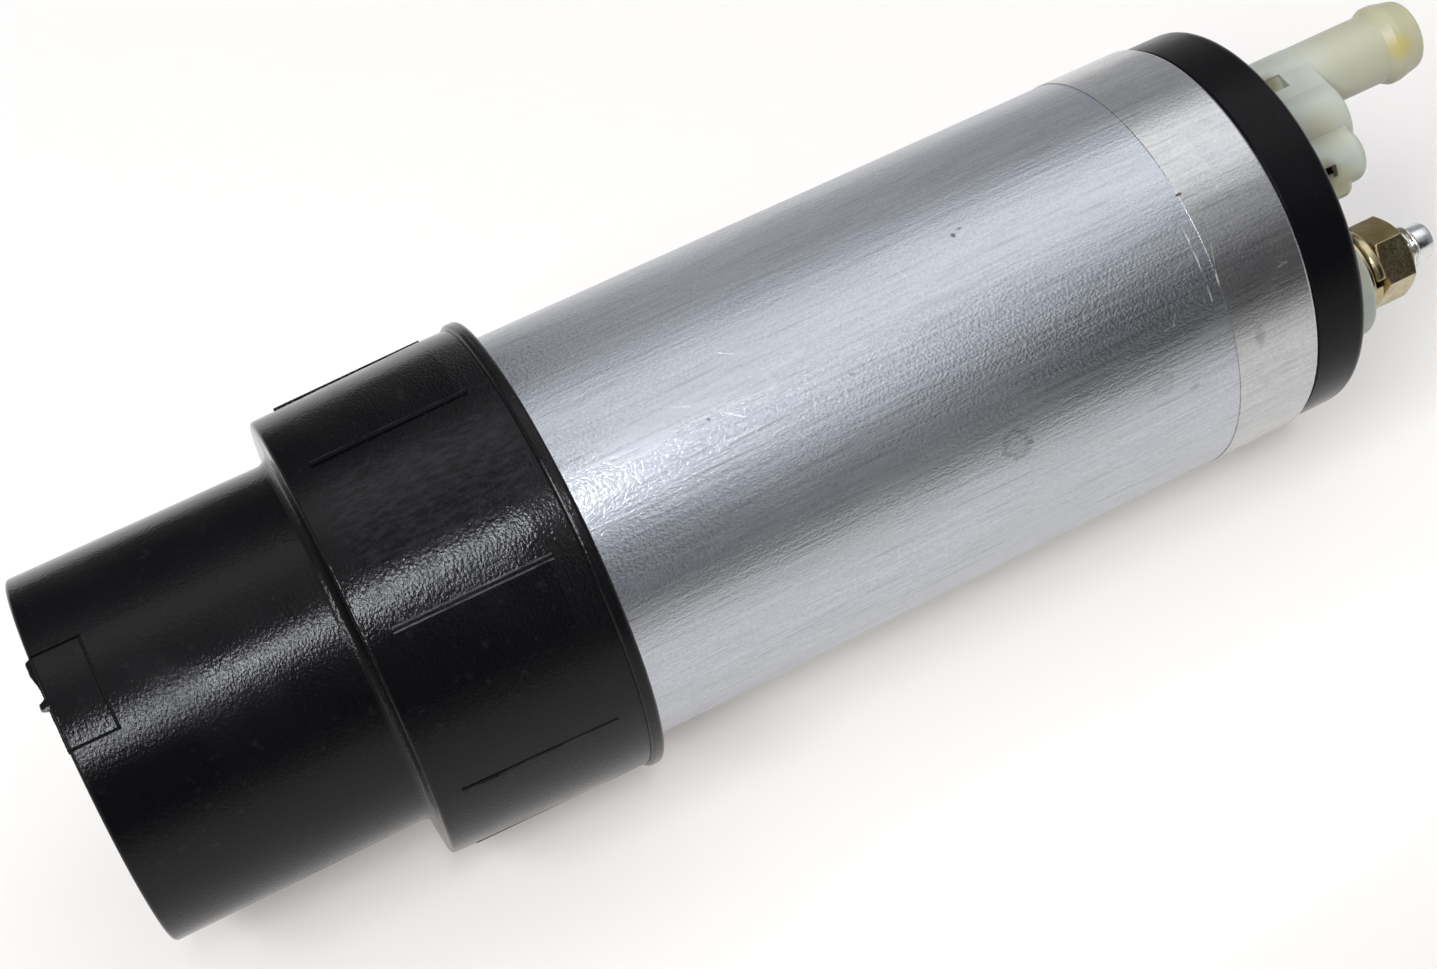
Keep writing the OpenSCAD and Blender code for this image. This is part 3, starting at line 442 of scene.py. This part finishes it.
# Yellowed places of the cap, and painted shade in its outlet pocket and brush window: place, reach,
# colour and strength
CAP_YELLOWING_AND_PAINTED_SHADE = [
    # The dark browns of the outlet pocket and of the brush tower's window are painted shade; the other
    # entries are yellowing
    (0.9, -7.4, 138.0, 2.4, (0.44, 0.4, 0.2), 0.6), (-11.3, -3.6, 137.4, 1.7, (0.2, 0.17, 0.07), 0.9),
    (-0.5, -8.3, 136.2, 1.9, (0.2, 0.14, 0.04), 0.9), (-9.4, -4.2, 152.8, 1.9, (0.46, 0.38, 0.08), 0.6),
    (-4.5, -7.6, 138.5, 3.4, (0.38, 0.36, 0.25), 0.6), (10.3, -5.0, 134.5, 3.2, (0.42, 0.38, 0.2), 0.6),
]


def milky_plastic(name):
    """The cap's translucent moulding, more yellow at the spigot's bead and the small lug, with painted
    shade in its two pockets.
    """
    material, tree, shader = new_material(name)
    where = node(tree, "ShaderNodeSeparateXYZ", {0: object_place(tree)}).outputs
    cloud = place(tree, GRAIN, Across=0.22, Along=0.22, Detail=3.0)["Mask"]
    milk = blend(tree, cloud, (0.37, 0.395, 0.355, 1), (0.44, 0.465, 0.41, 1))
    on_spigot = maths(tree, "MULTIPLY", remap(tree, where[2], 141.0, 146.0),
                      remap(tree, where[0], -5.0, -7.0))
    base = blend(tree, on_spigot, milk, (0.42, 0.42, 0.32, 1))
    bead = maths(tree, "MULTIPLY", remap(tree, where[2], 150.0, 153.0), on_spigot)
    base = blend(tree, maths(tree, "MULTIPLY", bead, 0.35), base, (0.44, 0.39, 0.2, 1))
    # Yellowing, and painted shade in the two pockets
    for x, y, z, reach, colour, strength in CAP_YELLOWING_AND_PAINTED_SHADE:
        gap = node(tree, "ShaderNodeVectorMath", {0: object_place(tree), 1: (x, y, z)},
                   operation="DISTANCE").outputs["Value"]
        tint_and_shade = remap(tree, gap, reach, reach * 0.35, 0.0, strength)
        base = blend(tree, tint_and_shade, base, (*colour, 1))
    fill(tree, shader.inputs["Base Color"], base)
    shader.inputs["Subsurface Weight"].default_value = 0.45
    shader.inputs["Subsurface Radius"].default_value = (1.0, 0.95, 0.8)
    shader.inputs["Subsurface Scale"].default_value = 1.6 * MM
    fill(tree, shader.inputs["Roughness"], remap(tree, cloud, 0.0, 1.0, 0.3, 0.42))
    fill(tree, shader.inputs["Normal"], bump(tree, cloud, 0.15, 0.05))
    return material


# Rounding of the plated fittings' edges, in metres
EDGE_ROUND = 0.00022


def yellow_zinc(name):
    """Yellow passivated plate: glossy, with a faint shift of hue."""
    material, tree, shader = new_material(name)
    shift = place(tree, GRAIN, Across=0.5, Along=0.5, Detail=3.0)["Mask"]
    fine = place(tree, GRAIN, Across=4.0, Along=4.0, Seed=5.0)["Mask"]
    base = blend(tree, shift, (0.38, 0.32, 0.17, 1), (0.52, 0.44, 0.27, 1))
    fill(tree, shader.inputs["Base Color"], base)
    shader.inputs["Metallic"].default_value = 1.0
    fill(tree, shader.inputs["Roughness"], remap(tree, fine, 0.0, 1.0, 0.14, 0.26))
    plate = bump(tree, fine, 0.2, 0.02)
    rounded = node(tree, "ShaderNodeBevel", {"Radius": EDGE_ROUND})
    fill(tree, plate.node.inputs["Normal"], rounded.outputs["Normal"])
    fill(tree, shader.inputs["Normal"], plate)
    return material


MATERIALS = {
    "sleeve_rubber": black_rubber("Moulded sleeve rubber", 0.15, 3.8, 0.017, 0.16, 0.2, True),
    "ring_rubber": black_rubber("Smooth ring rubber", 0.2, 1.5, 0.002, 0.08, 0.1),
    "can_aluminium": drawn_can("Drawn can aluminium", False),
    "clear_tape": drawn_can("Clear tape on the can", True),
    "cap_plastic": milky_plastic("Milky cap moulding"),
    "yellow_zinc": yellow_zinc("Yellow passivated plate"),
    "stud_steel": finish("Bright stud plate", (0.66, 0.67, 0.68), (0.76, 0.76, 0.76), 0.2, 1.0,
                         (2.0, 2.0), 0.06, 0.01),
    "pump_aluminium": finish("Machined die casting", (0.6, 0.61, 0.63), (0.68, 0.69, 0.71),
                             0.36, 1.0, (2.5, 2.5), 0.08, 0.03),
    "impeller_plastic": finish("Moulded thermoset", (0.04, 0.03, 0.022), (0.06, 0.045, 0.03),
                               0.42, 0.0, (3.0, 3.0)),
    "bush_bronze": finish("Sintered bronze", (0.42, 0.25, 0.12), (0.55, 0.35, 0.18), 0.42, 1.0,
                          (8.0, 8.0), 0.1, 0.03),
    "hard_steel": finish("Ground steel", (0.6, 0.6, 0.62), (0.7, 0.7, 0.72), 0.18, 1.0,
                         (1.0, 8.0), 0.06, 0.01),
    "plain_steel": finish("Rolled steel", (0.3, 0.31, 0.33), (0.42, 0.43, 0.45), 0.35, 1.0,
                          (1.5, 0.3), 0.1, 0.02),
    "lamination_steel": finish("Stacked laminations", (0.2, 0.21, 0.23), (0.42, 0.43, 0.45),
                               0.4, 1.0, (0.15, 6.0), 0.1, 0.05),
    "winding_copper": finish("Enamelled wire", (0.42, 0.13, 0.04), (0.6, 0.24, 0.09), 0.3, 0.9,
                             (5.0, 0.6), 0.08, 0.15),
    "commutator_copper": finish("Turned copper", (0.62, 0.3, 0.17), (0.72, 0.4, 0.25), 0.25,
                                1.0, (3.0, 3.0), 0.07, 0.01),
    "ferrite": finish("Ground ferrite", (0.035, 0.035, 0.038), (0.06, 0.06, 0.065), 0.45, 0.2,
                      (4.0, 4.0), 0.08, 0.02),
    "brush_carbon": finish("Pressed carbon", (0.02, 0.02, 0.022), (0.04, 0.04, 0.043), 0.5,
                           0.1, (6.0, 6.0), 0.1, 0.02),
    "spring_steel": finish("Drawn spring wire", (0.55, 0.55, 0.57), (0.66, 0.66, 0.68), 0.22,
                           1.0, (5.0, 5.0), 0.06, 0.01),
    "seat_brass": finish("Turned brass", (0.6, 0.42, 0.18), (0.7, 0.52, 0.26), 0.22, 1.0,
                         (1.0, 8.0), 0.06, 0.01),
    "valve_plastic": finish("Black valve moulding", (0.02, 0.02, 0.022), (0.035, 0.035, 0.037),
                            0.4, 0.0, (2.0, 2.0)),
    "ball_steel": finish("Polished ball steel", (0.7, 0.7, 0.72), (0.75, 0.75, 0.77), 0.08, 1.0,
                         (1.0, 1.0), 0.02, 0.0),
    "seal_rubber": finish("Seal rubber", (0.006, 0.006, 0.007), (0.01, 0.01, 0.011), 0.4, 0.0,
                          (3.0, 3.0)),
}


def dress_frame():
    """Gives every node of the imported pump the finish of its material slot."""
    slots = {part["node"]: part["material_slot"] for part in frame["record"]["subparts"]}
    for name, piece in frame["nodes"].items():
        piece.data.materials.clear()
        piece.data.materials.append(MATERIALS[slots[name]])


def new_piece(name, mesh, slot, smooth_angle=None):
    """A piece that rides on the pump and takes its finish from a material slot."""
    piece = bpy.data.objects.new(name, mesh)
    bpy.context.scene.collection.objects.link(piece)
    piece.data.materials.append(MATERIALS[slot])
    for face in piece.data.polygons:
        face.use_smooth = True
    if smooth_angle is not None:
        piece.data.set_sharp_from_angle(angle=math.radians(smooth_angle))
    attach(piece, PUMP)
    return piece


def threaded_stud(name, stands_for, centre, rod_radius, head, thread_z, point, pitch):
    """A stud with its round head, a real helical thread and a plain point."""
    head_radius, head_z0, head_z1 = head
    z0, z1 = thread_z
    point_radius, tip_z = point
    sides = 48
    depth = 0.54 * pitch
    rows_per_turn = 8
    rows = int((z1 - z0) / pitch * rows_per_turn)
    made = bmesh.new()

    def ring(radii, heights):
        return [made.verts.new((
            (centre[0] + radii[i] * math.cos(2 * math.pi * i / sides)) * MM,
            (centre[1] + radii[i] * math.sin(2 * math.pi * i / sides)) * MM,
            heights[i] * MM)) for i in range(sides)]

    def plain(radius, z):
        return ring([radius] * sides, [z] * sides)

    def crest(z, i):
        turn = (z / pitch - i / sides) % 1.0
        flank = min(1.0, max(0.0, 1.35 - 2.9 * abs(turn - 0.5)))
        fade = min(1.0, (z1 - z) / (0.8 * pitch), (z - z0) / (0.8 * pitch) + 0.3)
        return rod_radius - depth * (1 - flank) * max(0.0, min(1.0, fade + 0.2))

    rings = [plain(head_radius, head_z0), plain(head_radius, head_z1), plain(rod_radius, head_z1)]
    for row in range(rows + 1):
        z = z0 + (z1 - z0) * row / rows
        rings.append(ring([crest(z, i) for i in range(sides)], [z] * sides))
    rings.append(plain(point_radius, z1 + 0.4))
    rings.append(plain(point_radius, tip_z - 0.35))
    rings.append(plain(point_radius - 0.1, tip_z - 0.12))
    rings.append(plain(point_radius - 0.35, tip_z))
    for low, high in zip(rings, rings[1:]):
        for i in range(sides):
            j = (i + 1) % sides
            made.faces.new((low[i], low[j], high[j], high[i]))
    made.faces.new(list(reversed(rings[0])))
    made.faces.new(rings[-1])
    mesh = bpy.data.meshes.new(name)
    made.to_mesh(mesh)
    made.free()
    piece = new_piece(name, mesh, "stud_steel", 38)
    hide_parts(stands_for)
    return piece


def make_studs():
    """Both terminal studs with their threads."""
    low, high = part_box("terminal_stud_positive")
    threaded_stud("positive_stud_threaded", "terminal_stud_positive", (10.3, 0.0), 2.4,
                  (4.0, low[2] / MM, low[2] / MM + 2.0), (low[2] / MM + 2.6, 145.7),
                  (2.0, high[2] / MM), 0.8)
    low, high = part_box("terminal_stud_negative")
    threaded_stud("negative_stud_threaded", "terminal_stud_negative", (-3.0, 11.5), 1.95,
                  (3.4, low[2] / MM, low[2] / MM + 2.0), (low[2] / MM + 2.6, high[2] / MM - 2.4),
                  (1.55, high[2] / MM), 0.7)


def coiled_washer(name, stands_for, centre, outer, inner, z0, z1, split_angle):
    """A split spring washer: one rounded coil whose two ends stand apart."""
    steps = 72
    corner_steps = 4
    wire = 0.72 * (z1 - z0)
    rise = z1 - z0 - wire
    gap = 9.0
    half_w = (outer - inner) / 2
    round_r = 0.3
    outline = []
    for corner_x, corner_z, start in ((1, 1, 0), (-1, 1, 90), (-1, -1, 180), (1, -1, 270)):
        for i in range(corner_steps):
            turn = math.radians(start + 90 * i / (corner_steps - 1))
            outline.append((corner_x * (half_w - round_r) + round_r * math.cos(turn),
                            corner_z * (wire / 2 - round_r) + round_r * math.sin(turn)))
    made = bmesh.new()
    rings = []
    middle_r = (outer + inner) / 2
    for step in range(steps + 1):
        share = step / steps
        turn = math.radians(split_angle + gap / 2 + (360 - gap) * share)
        middle_z = z0 + wire / 2 + rise * share
        rings.append([made.verts.new((
            (centre[0] + (middle_r + x) * math.cos(turn)) * MM,
            (centre[1] + (middle_r + x) * math.sin(turn)) * MM,
            (middle_z + z) * MM)) for x, z in outline])
    count = len(outline)
    for low, high in zip(rings, rings[1:]):
        for i in range(count):
            j = (i + 1) % count
            made.faces.new((low[i], low[j], high[j], high[i]))
    made.faces.new(rings[0])
    made.faces.new(list(reversed(rings[-1])))
    bmesh.ops.recalc_face_normals(made, faces=made.faces[:])
    mesh = bpy.data.meshes.new(name)
    made.to_mesh(mesh)
    made.free()
    piece = new_piece(name, mesh, "yellow_zinc", 50)
    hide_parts(stands_for)


def make_spring_washers():
    """Both spring washers as coils."""
    low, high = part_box("spring_washer_positive")
    coiled_washer("positive_washer_coil", "spring_washer_positive", (10.3, 0.0), 4.6, 2.6,
                  low[2] / MM, high[2] / MM, -62.0)
    low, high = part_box("spring_washer_negative")
    coiled_washer("negative_washer_coil", "spring_washer_negative", (-3.0, 11.5), 3.8, 2.15,
                  low[2] / MM, high[2] / MM, 60.0)


def round_edges():
    """Small rounded edges on the moulded and pressed pieces."""
    for name, width in (("rubber_sleeve", 0.14), ("end_cap", 0.16), ("nut_positive", 0.14),
                        ("nut_negative", 0.12), ("plain_washer_positive", 0.15),
                        ("plain_washer_negative", 0.15)):
        piece = frame["nodes"][name]
        bevel = piece.modifiers.new("Rounded edges", "BEVEL")
        bevel.width = width * MM
        bevel.segments = 2
        bevel.limit_method = "ANGLE"
        bevel.angle_limit = math.radians(32)
        bevel.use_clamp_overlap = True


def make_flash():
    """Ragged moulding flash on the rim, where the mould's insert ended."""
    dice = random.Random(5)
    made = bmesh.new()
    rows = []
    for i in range(61):
        angle = -34.0 + 30.0 * i / 60
        reach = 0.07 + 0.05 * dice.random()
        if angle < -29.0:
            reach += 0.36 * min(1.0, (angle + 34.0) / 0.6)
        elif angle < -24.0:
            reach += 0.36 * (-24.0 - angle) / 5.0
        if -20.6 < angle < -17.6:
            reach += 0.62 * min(1.0, 3.0 * math.sin(math.pi * (angle + 20.6) / 3.0))
        turn = math.radians(angle)
        row = []
        for radius, z in ((18.76, 0.5), (18.5, -reach * 0.9), (18.3, -reach), (17.9, -reach * 0.8),
                          (17.7, 0.3)):
            row.append(made.verts.new((radius * math.sin(turn) * MM,
                                       -radius * math.cos(turn) * MM, z * MM)))
        rows.append(row)
    for low, high in zip(rows, rows[1:]):
        for i in range(4):
            made.faces.new((low[i], low[i + 1], high[i + 1], high[i]))
        made.faces.new((low[4], low[0], high[0], high[4]))
    made.faces.new(rows[0])
    made.faces.new(list(reversed(rows[-1])))
    bmesh.ops.recalc_face_normals(made, faces=made.faces[:])
    mesh = bpy.data.meshes.new("rim_flash")
    made.to_mesh(mesh)
    made.free()
    new_piece("rim_flash", mesh, "sleeve_rubber", 40)


def make_camera():
    """The photograph's camera."""
    camera = bpy.data.objects.new("Camera", bpy.data.cameras.new("Camera"))
    bpy.context.scene.collection.objects.link(camera)
    camera.data.sensor_width = 36.0
    camera.data.lens = 58.14
    camera.data.clip_start = 0.01
    camera.data.clip_end = 20.0
    right = Vector((0.42608, -0.19229, 0.88401))
    up = Vector((-0.90466, -0.08249, 0.41809))
    look = Vector((0.00747, 0.97787, 0.20910))
    turn = Matrix((right, up, -look)).transposed().to_4x4()
    camera.matrix_world = Matrix.Translation((0.0, -0.227916, 0.01742)) @ turn
    bpy.context.scene.camera = camera


# Brightness of the room by the angle round the pump's axis, 0 towards the camera: level with
# the sleeve, higher up towards the outlet, and beyond the inlet end
LOW_ROOM = [(-180, 0.8), (-150, 0.28), (-124, 0.14), (-108, 0.08), (-96, 0.09), (-84, 0.18),
            (-76, 0.45), (-68, 1.0), (-59, 1.25), (-50, 0.8), (-41, 0.5), (-33, 0.42), (-24, 0.4),
            (-10, 0.25), (0, 0.12), (8, 0.03), (16, 0.0), (60, 0.0), (130, 0.1), (180, 0.8)]
MIDDLE_ROOM = [(-180, 0.9), (-150, 0.6), (-124, 0.6), (-108, 0.54), (-96, 0.52), (-84, 0.6),
               (-76, 0.7), (-70, 0.95), (-62, 1.15), (-50, 1.25), (-34, 1.27), (-20, 1.24),
               (-6, 1.2), (3, 1.1), (9, 0.72), (18, 0.52), (30, 0.36), (44, 0.26), (60, 0.2),
               (180, 0.9)]
HIGH_ROOM = [(-180, 0.9), (-150, 0.6), (-120, 0.48), (-100, 0.38), (-88, 0.36), (-80, 0.45),
             (-72, 1.0), (-64, 1.4), (-36, 1.4), (-26, 1.0), (-14, 0.38), (3, 0.32), (7, 0.08),
             (24, 0.02), (60, 0.02), (180, 0.9)]
INLET_ROOM = [(-180, 0.6), (-135, 0.4), (-90, 0.35), (-20, 0.35), (45, 0.35), (180, 0.6)]
STRIP = [(-180, 0), (-19.5, 0), (-17.5, 1), (-14, 1), (-12, 0), (180, 0)]
STRIP_LEVEL = 56.0
# How far the strip leans, as a share of a full turn for each unit of height
STRIP_LEAN = 0.19
STRIP_MIDDLE = 0.035
# Share of the strip's brightness by the sine of the height angle
STRIP_HEIGHTS = [(0.0, 0), (0.4, 0), (0.44, 0.8), (0.505, 1.0), (0.515, 1.3), (0.521, 0.9),
                 (0.526, 0.0), (1.0, 0)]


def level_ramp(tree, share, stops_wanted):
    """A ramp of brightnesses at places from 0 to 1."""
    ramp = node(tree, "ShaderNodeValToRGB", {0: share})
    stops = ramp.color_ramp.elements
    for position, level in stops_wanted:
        stop = stops.new(position) if 0 < position < 1 else stops[0 if position <= 0 else -1]
        stop.color = (level * 0.985, level, level * 1.03, 1)
    return ramp.outputs[0]


def make_room():
    """A room whose brightness changes round the pump's axis and along it."""
    world = bpy.data.worlds.new("Room")
    bpy.context.scene.world = world
    world.use_nodes = True
    tree = world.node_tree
    tree.nodes.clear()
    split = node(tree, "ShaderNodeSeparateXYZ",
                 {0: node(tree, "ShaderNodeTexCoord").outputs["Generated"]}).outputs
    turn = maths(tree, "ARCTAN2", split[0], maths(tree, "MULTIPLY", split[1], -1.0))
    share = maths(tree, "ADD", maths(tree, "DIVIDE", turn, 2 * math.pi), 0.5)

    def round_ramp(levels, where=share):
        return level_ramp(tree, where, [(angle / 360 + 0.5, level) for angle, level in levels])

    colour = blend(tree, remap(tree, split[2], -0.36, -0.24), round_ramp(INLET_ROOM),
                   round_ramp(LOW_ROOM))
    colour = blend(tree, remap(tree, split[2], 0.1, 0.16), colour, round_ramp(MIDDLE_ROOM))
    colour = blend(tree, remap(tree, split[2], 0.29, 0.38), colour, round_ramp(HIGH_ROOM))
    colour = blend(tree, remap(tree, split[2], 0.68, 0.8), colour, (0.4, 0.4, 0.41, 1))
    height = maths(tree, "ADD", maths(tree, "MULTIPLY", split[2], 0.5), 0.5)
    lean = maths(tree, "MULTIPLY", maths(tree, "SUBTRACT", split[2], STRIP_MIDDLE), STRIP_LEAN)
    strip = blend(tree, 1.0, round_ramp(STRIP, maths(tree, "ADD", share, lean)),
                  level_ramp(tree, height, STRIP_HEIGHTS), "MULTIPLY")
    strip = blend(tree, 1.0, strip, (STRIP_LEVEL, STRIP_LEVEL, STRIP_LEVEL, 1), "MULTIPLY")
    colour = blend(tree, 1.0, colour, strip, "ADD")
    background = node(tree, "ShaderNodeBackground", {0: colour, 1: 1.0})
    output = node(tree, "ShaderNodeOutputWorld")
    tree.links.new(background.outputs[0], output.inputs[0])


def area_light(name, angle, distance, along, width, length, power, colour=(1, 1, 1)):
    """A flat lamp that faces the pump's axis from an angle round it."""
    lamp = bpy.data.lights.new(name, "AREA")
    lamp.shape = "RECTANGLE"
    lamp.size = width
    lamp.size_y = length
    lamp.energy = power
    lamp.color = colour
    holder = bpy.data.objects.new(name, lamp)
    bpy.context.scene.collection.objects.link(holder)
    turn = math.radians(angle)
    where = Vector((math.sin(turn) * distance, -math.cos(turn) * distance, along))
    out = (where - Vector((0, 0, 0.078))).normalized()
    side = Vector((0, 0, 1)).cross(out).normalized()
    holder.matrix_world = Matrix.Translation(where) @ Matrix(
        (side, out.cross(side), out)).transposed().to_4x4()
    return holder


FLOOR_TILT = 45.0
# The floor's own glow, and where it darkens on its lower side, in metres from the pump
FLOOR_GLOW = (0.225, 0.206, 0.19, 1)
FLOOR_FADE = (0.055, 0.22)
FLOOR_FAR = 0.22


def make_floor():
    """A white floor that the pump lies on; it can't be seen from its underside."""
    turn = math.radians(FLOOR_TILT)
    down = Vector((math.cos(turn), math.sin(turn), 0))
    run = Vector((-math.sin(turn), math.cos(turn), 0))
    centre = down * (LIP_RADIUS + 0.05) * MM + Vector((0, 0, 0.078))
    size = 4.0
    corners = [centre + run * size * a + Vector((0, 0, size * b))
               for a, b in ((-1, -1), (-1, 1), (1, 1), (1, -1))]
    mesh = bpy.data.meshes.new("floor")
    mesh.from_pydata(corners, [], [(0, 1, 2, 3)])
    floor = bpy.data.objects.new("floor", mesh)
    bpy.context.scene.collection.objects.link(floor)
    if floor.data.polygons[0].normal.dot(down) > 0:
        floor.data.flip_normals()
    material = bpy.data.materials.new("White floor")
    material.use_nodes = True
    tree = material.node_tree
    tree.nodes.clear()
    place_now = node(tree, "ShaderNodeTexCoord").outputs["Object"]
    aside = node(tree, "ShaderNodeVectorMath", {0: place_now, 1: -run},
                 operation="DOT_PRODUCT").outputs["Value"]
    fade = remap(tree, aside, FLOOR_FADE[0], FLOOR_FADE[1], 1.0, FLOOR_FAR)
    paper = node(tree, "ShaderNodeBsdfDiffuse",
                 {"Color": blend(tree, fade, (0, 0, 0, 1), (0.622, 0.62, 0.617, 1))})
    rays = node(tree, "ShaderNodeLightPath").outputs
    seen = maths(tree, "MAXIMUM", maths(tree, "MAXIMUM", rays["Is Camera Ray"],
                                        rays["Is Glossy Ray"]), rays["Is Transmission Ray"])
    glow = node(tree, "ShaderNodeEmission", {
        "Color": FLOOR_GLOW, "Strength": maths(tree, "MULTIPLY", seen, fade)})
    lit = node(tree, "ShaderNodeAddShader", {0: paper.outputs[0], 1: glow.outputs[0]})
    clear = node(tree, "ShaderNodeBsdfTransparent")
    sided = node(tree, "ShaderNodeMixShader", {
        0: node(tree, "ShaderNodeNewGeometry").outputs["Backfacing"],
        1: lit.outputs[0], 2: clear.outputs[0]})
    output = node(tree, "ShaderNodeOutputMaterial")
    tree.links.new(sided.outputs[0], output.inputs[0])
    floor.data.materials.append(material)


def make_lamps():
    """A soft lamp in front of the inlet end: it lights the floor and isn't mirrored in the can."""
    area_light("Front lamp", -14.0, 1.3, -0.85, 0.95, 0.36, 20.0, (1.0, 0.985, 0.96))


scene = bpy.context.scene
scene.view_settings.view_transform = "Standard"
make_camera()
make_room()
make_lamps()
make_floor()
dress_frame()
round_edges()
make_studs()
make_spring_washers()
make_flash()
